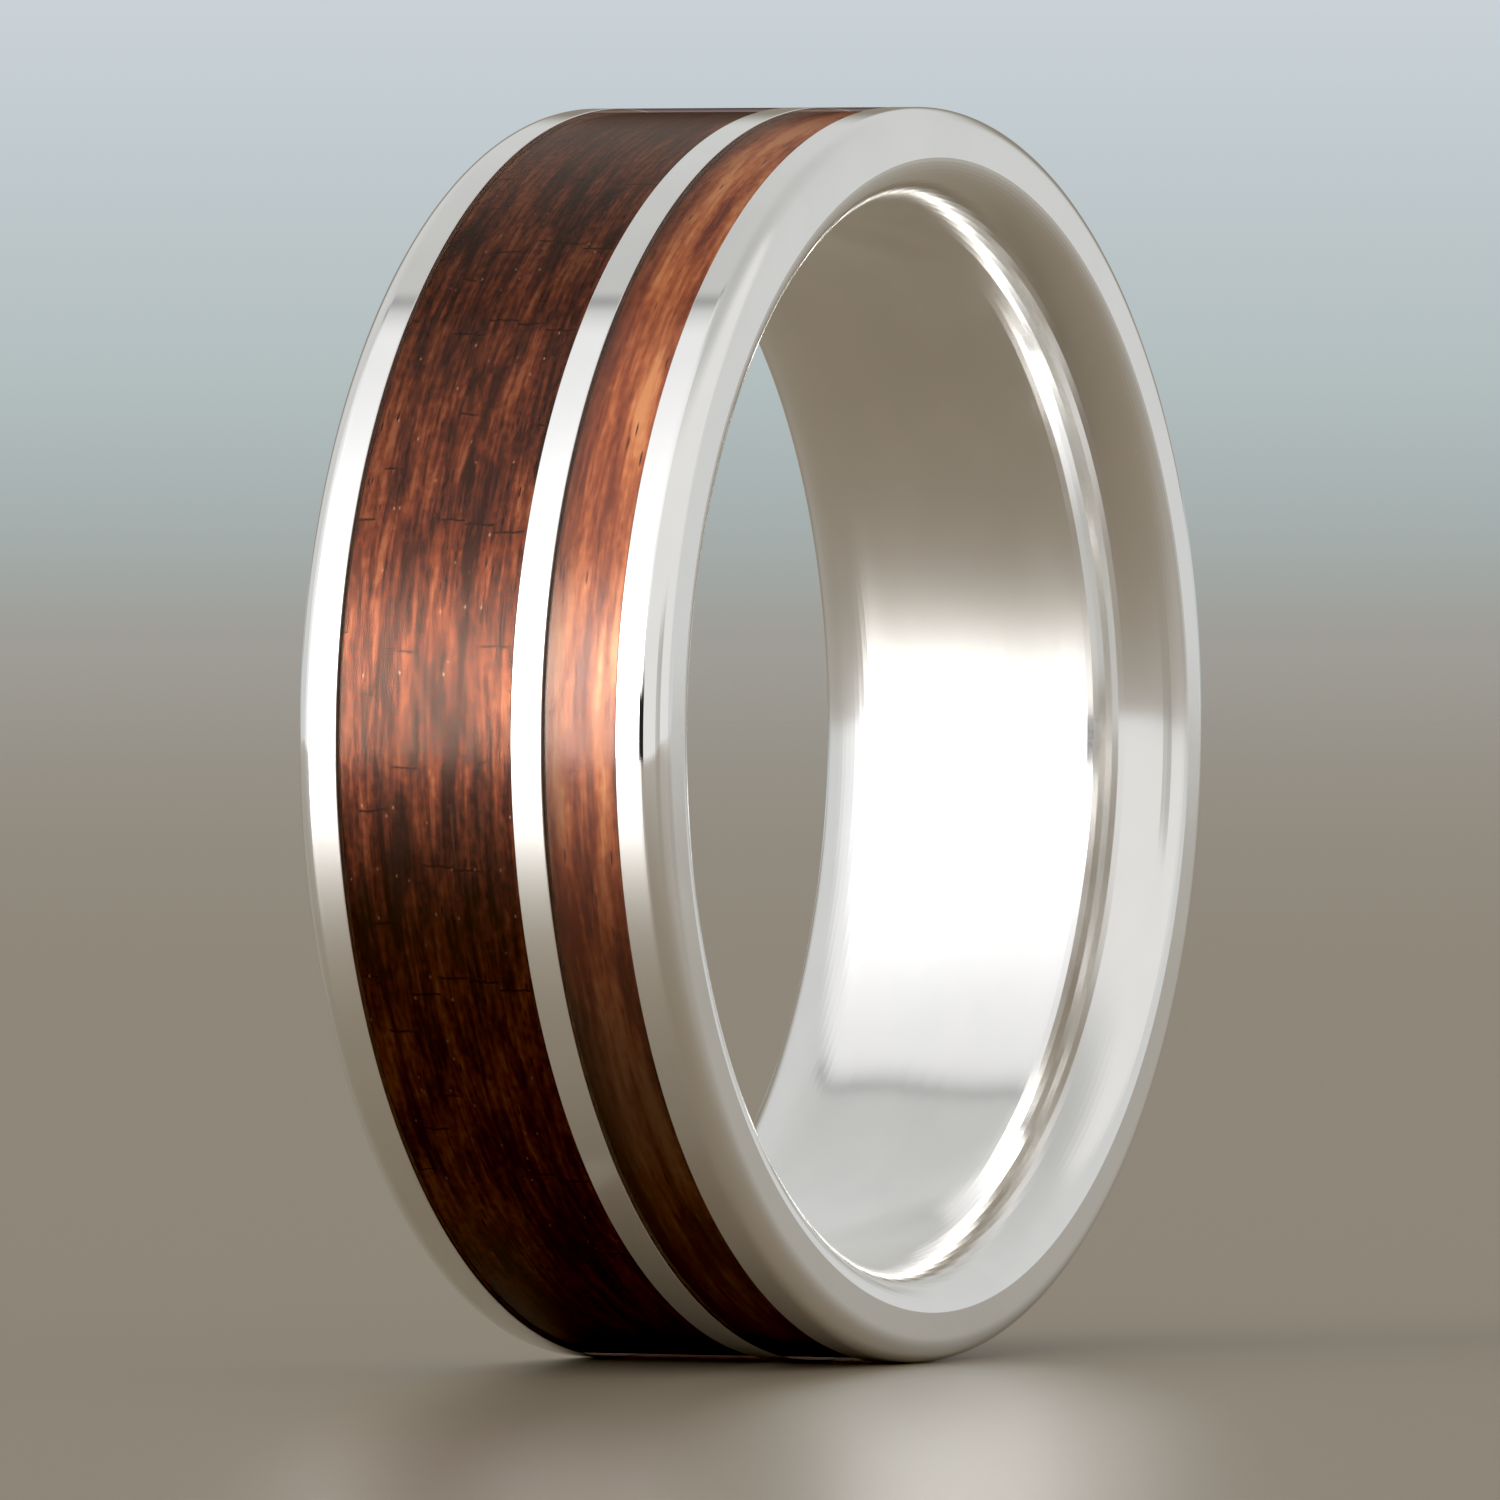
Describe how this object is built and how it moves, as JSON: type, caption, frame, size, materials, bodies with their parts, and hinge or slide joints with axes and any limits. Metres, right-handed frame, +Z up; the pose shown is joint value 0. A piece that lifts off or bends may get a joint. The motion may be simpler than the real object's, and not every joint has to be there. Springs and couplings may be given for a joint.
{
  "type": "wedding band",
  "caption": "Flat-topped comfort-fit finger ring of polished silver-coloured metal, with a wide dark and a narrow light wood inlay set flush in channels round the outside.",
  "frame": {"origin": "centre of the finger hole, halfway across the band's width", "axes": "Y along the finger, with the narrow inlay nearer -Y; the band stands on its edge with +Z up and X to its side"},
  "size_m": [0.0248, 0.008, 0.0248],
  "materials": {
    "polished_silver": "mirror-polished sterling silver colour, faint polishing lines round the band",
    "dark_wood": "dark reddish-brown figured wood, grain round the band, under a clear coat",
    "light_wood": "chestnut to orange-brown wood, grain round the band, darker along one edge, under a clear coat",
    "adhesive": "hidden amber adhesive film",
    "clear_coat": "clear gloss resin polished level with the metal"
  },
  "bodies": {
    "root": {"band_body": "polished_silver", "wide_adhesive_bed": "adhesive", "wide_wood_inlay": "dark_wood", "wide_clear_coat": "clear_coat", "narrow_adhesive_bed": "adhesive", "narrow_wood_inlay": "light_wood", "narrow_clear_coat": "clear_coat"}
  },
  "joints": []
}
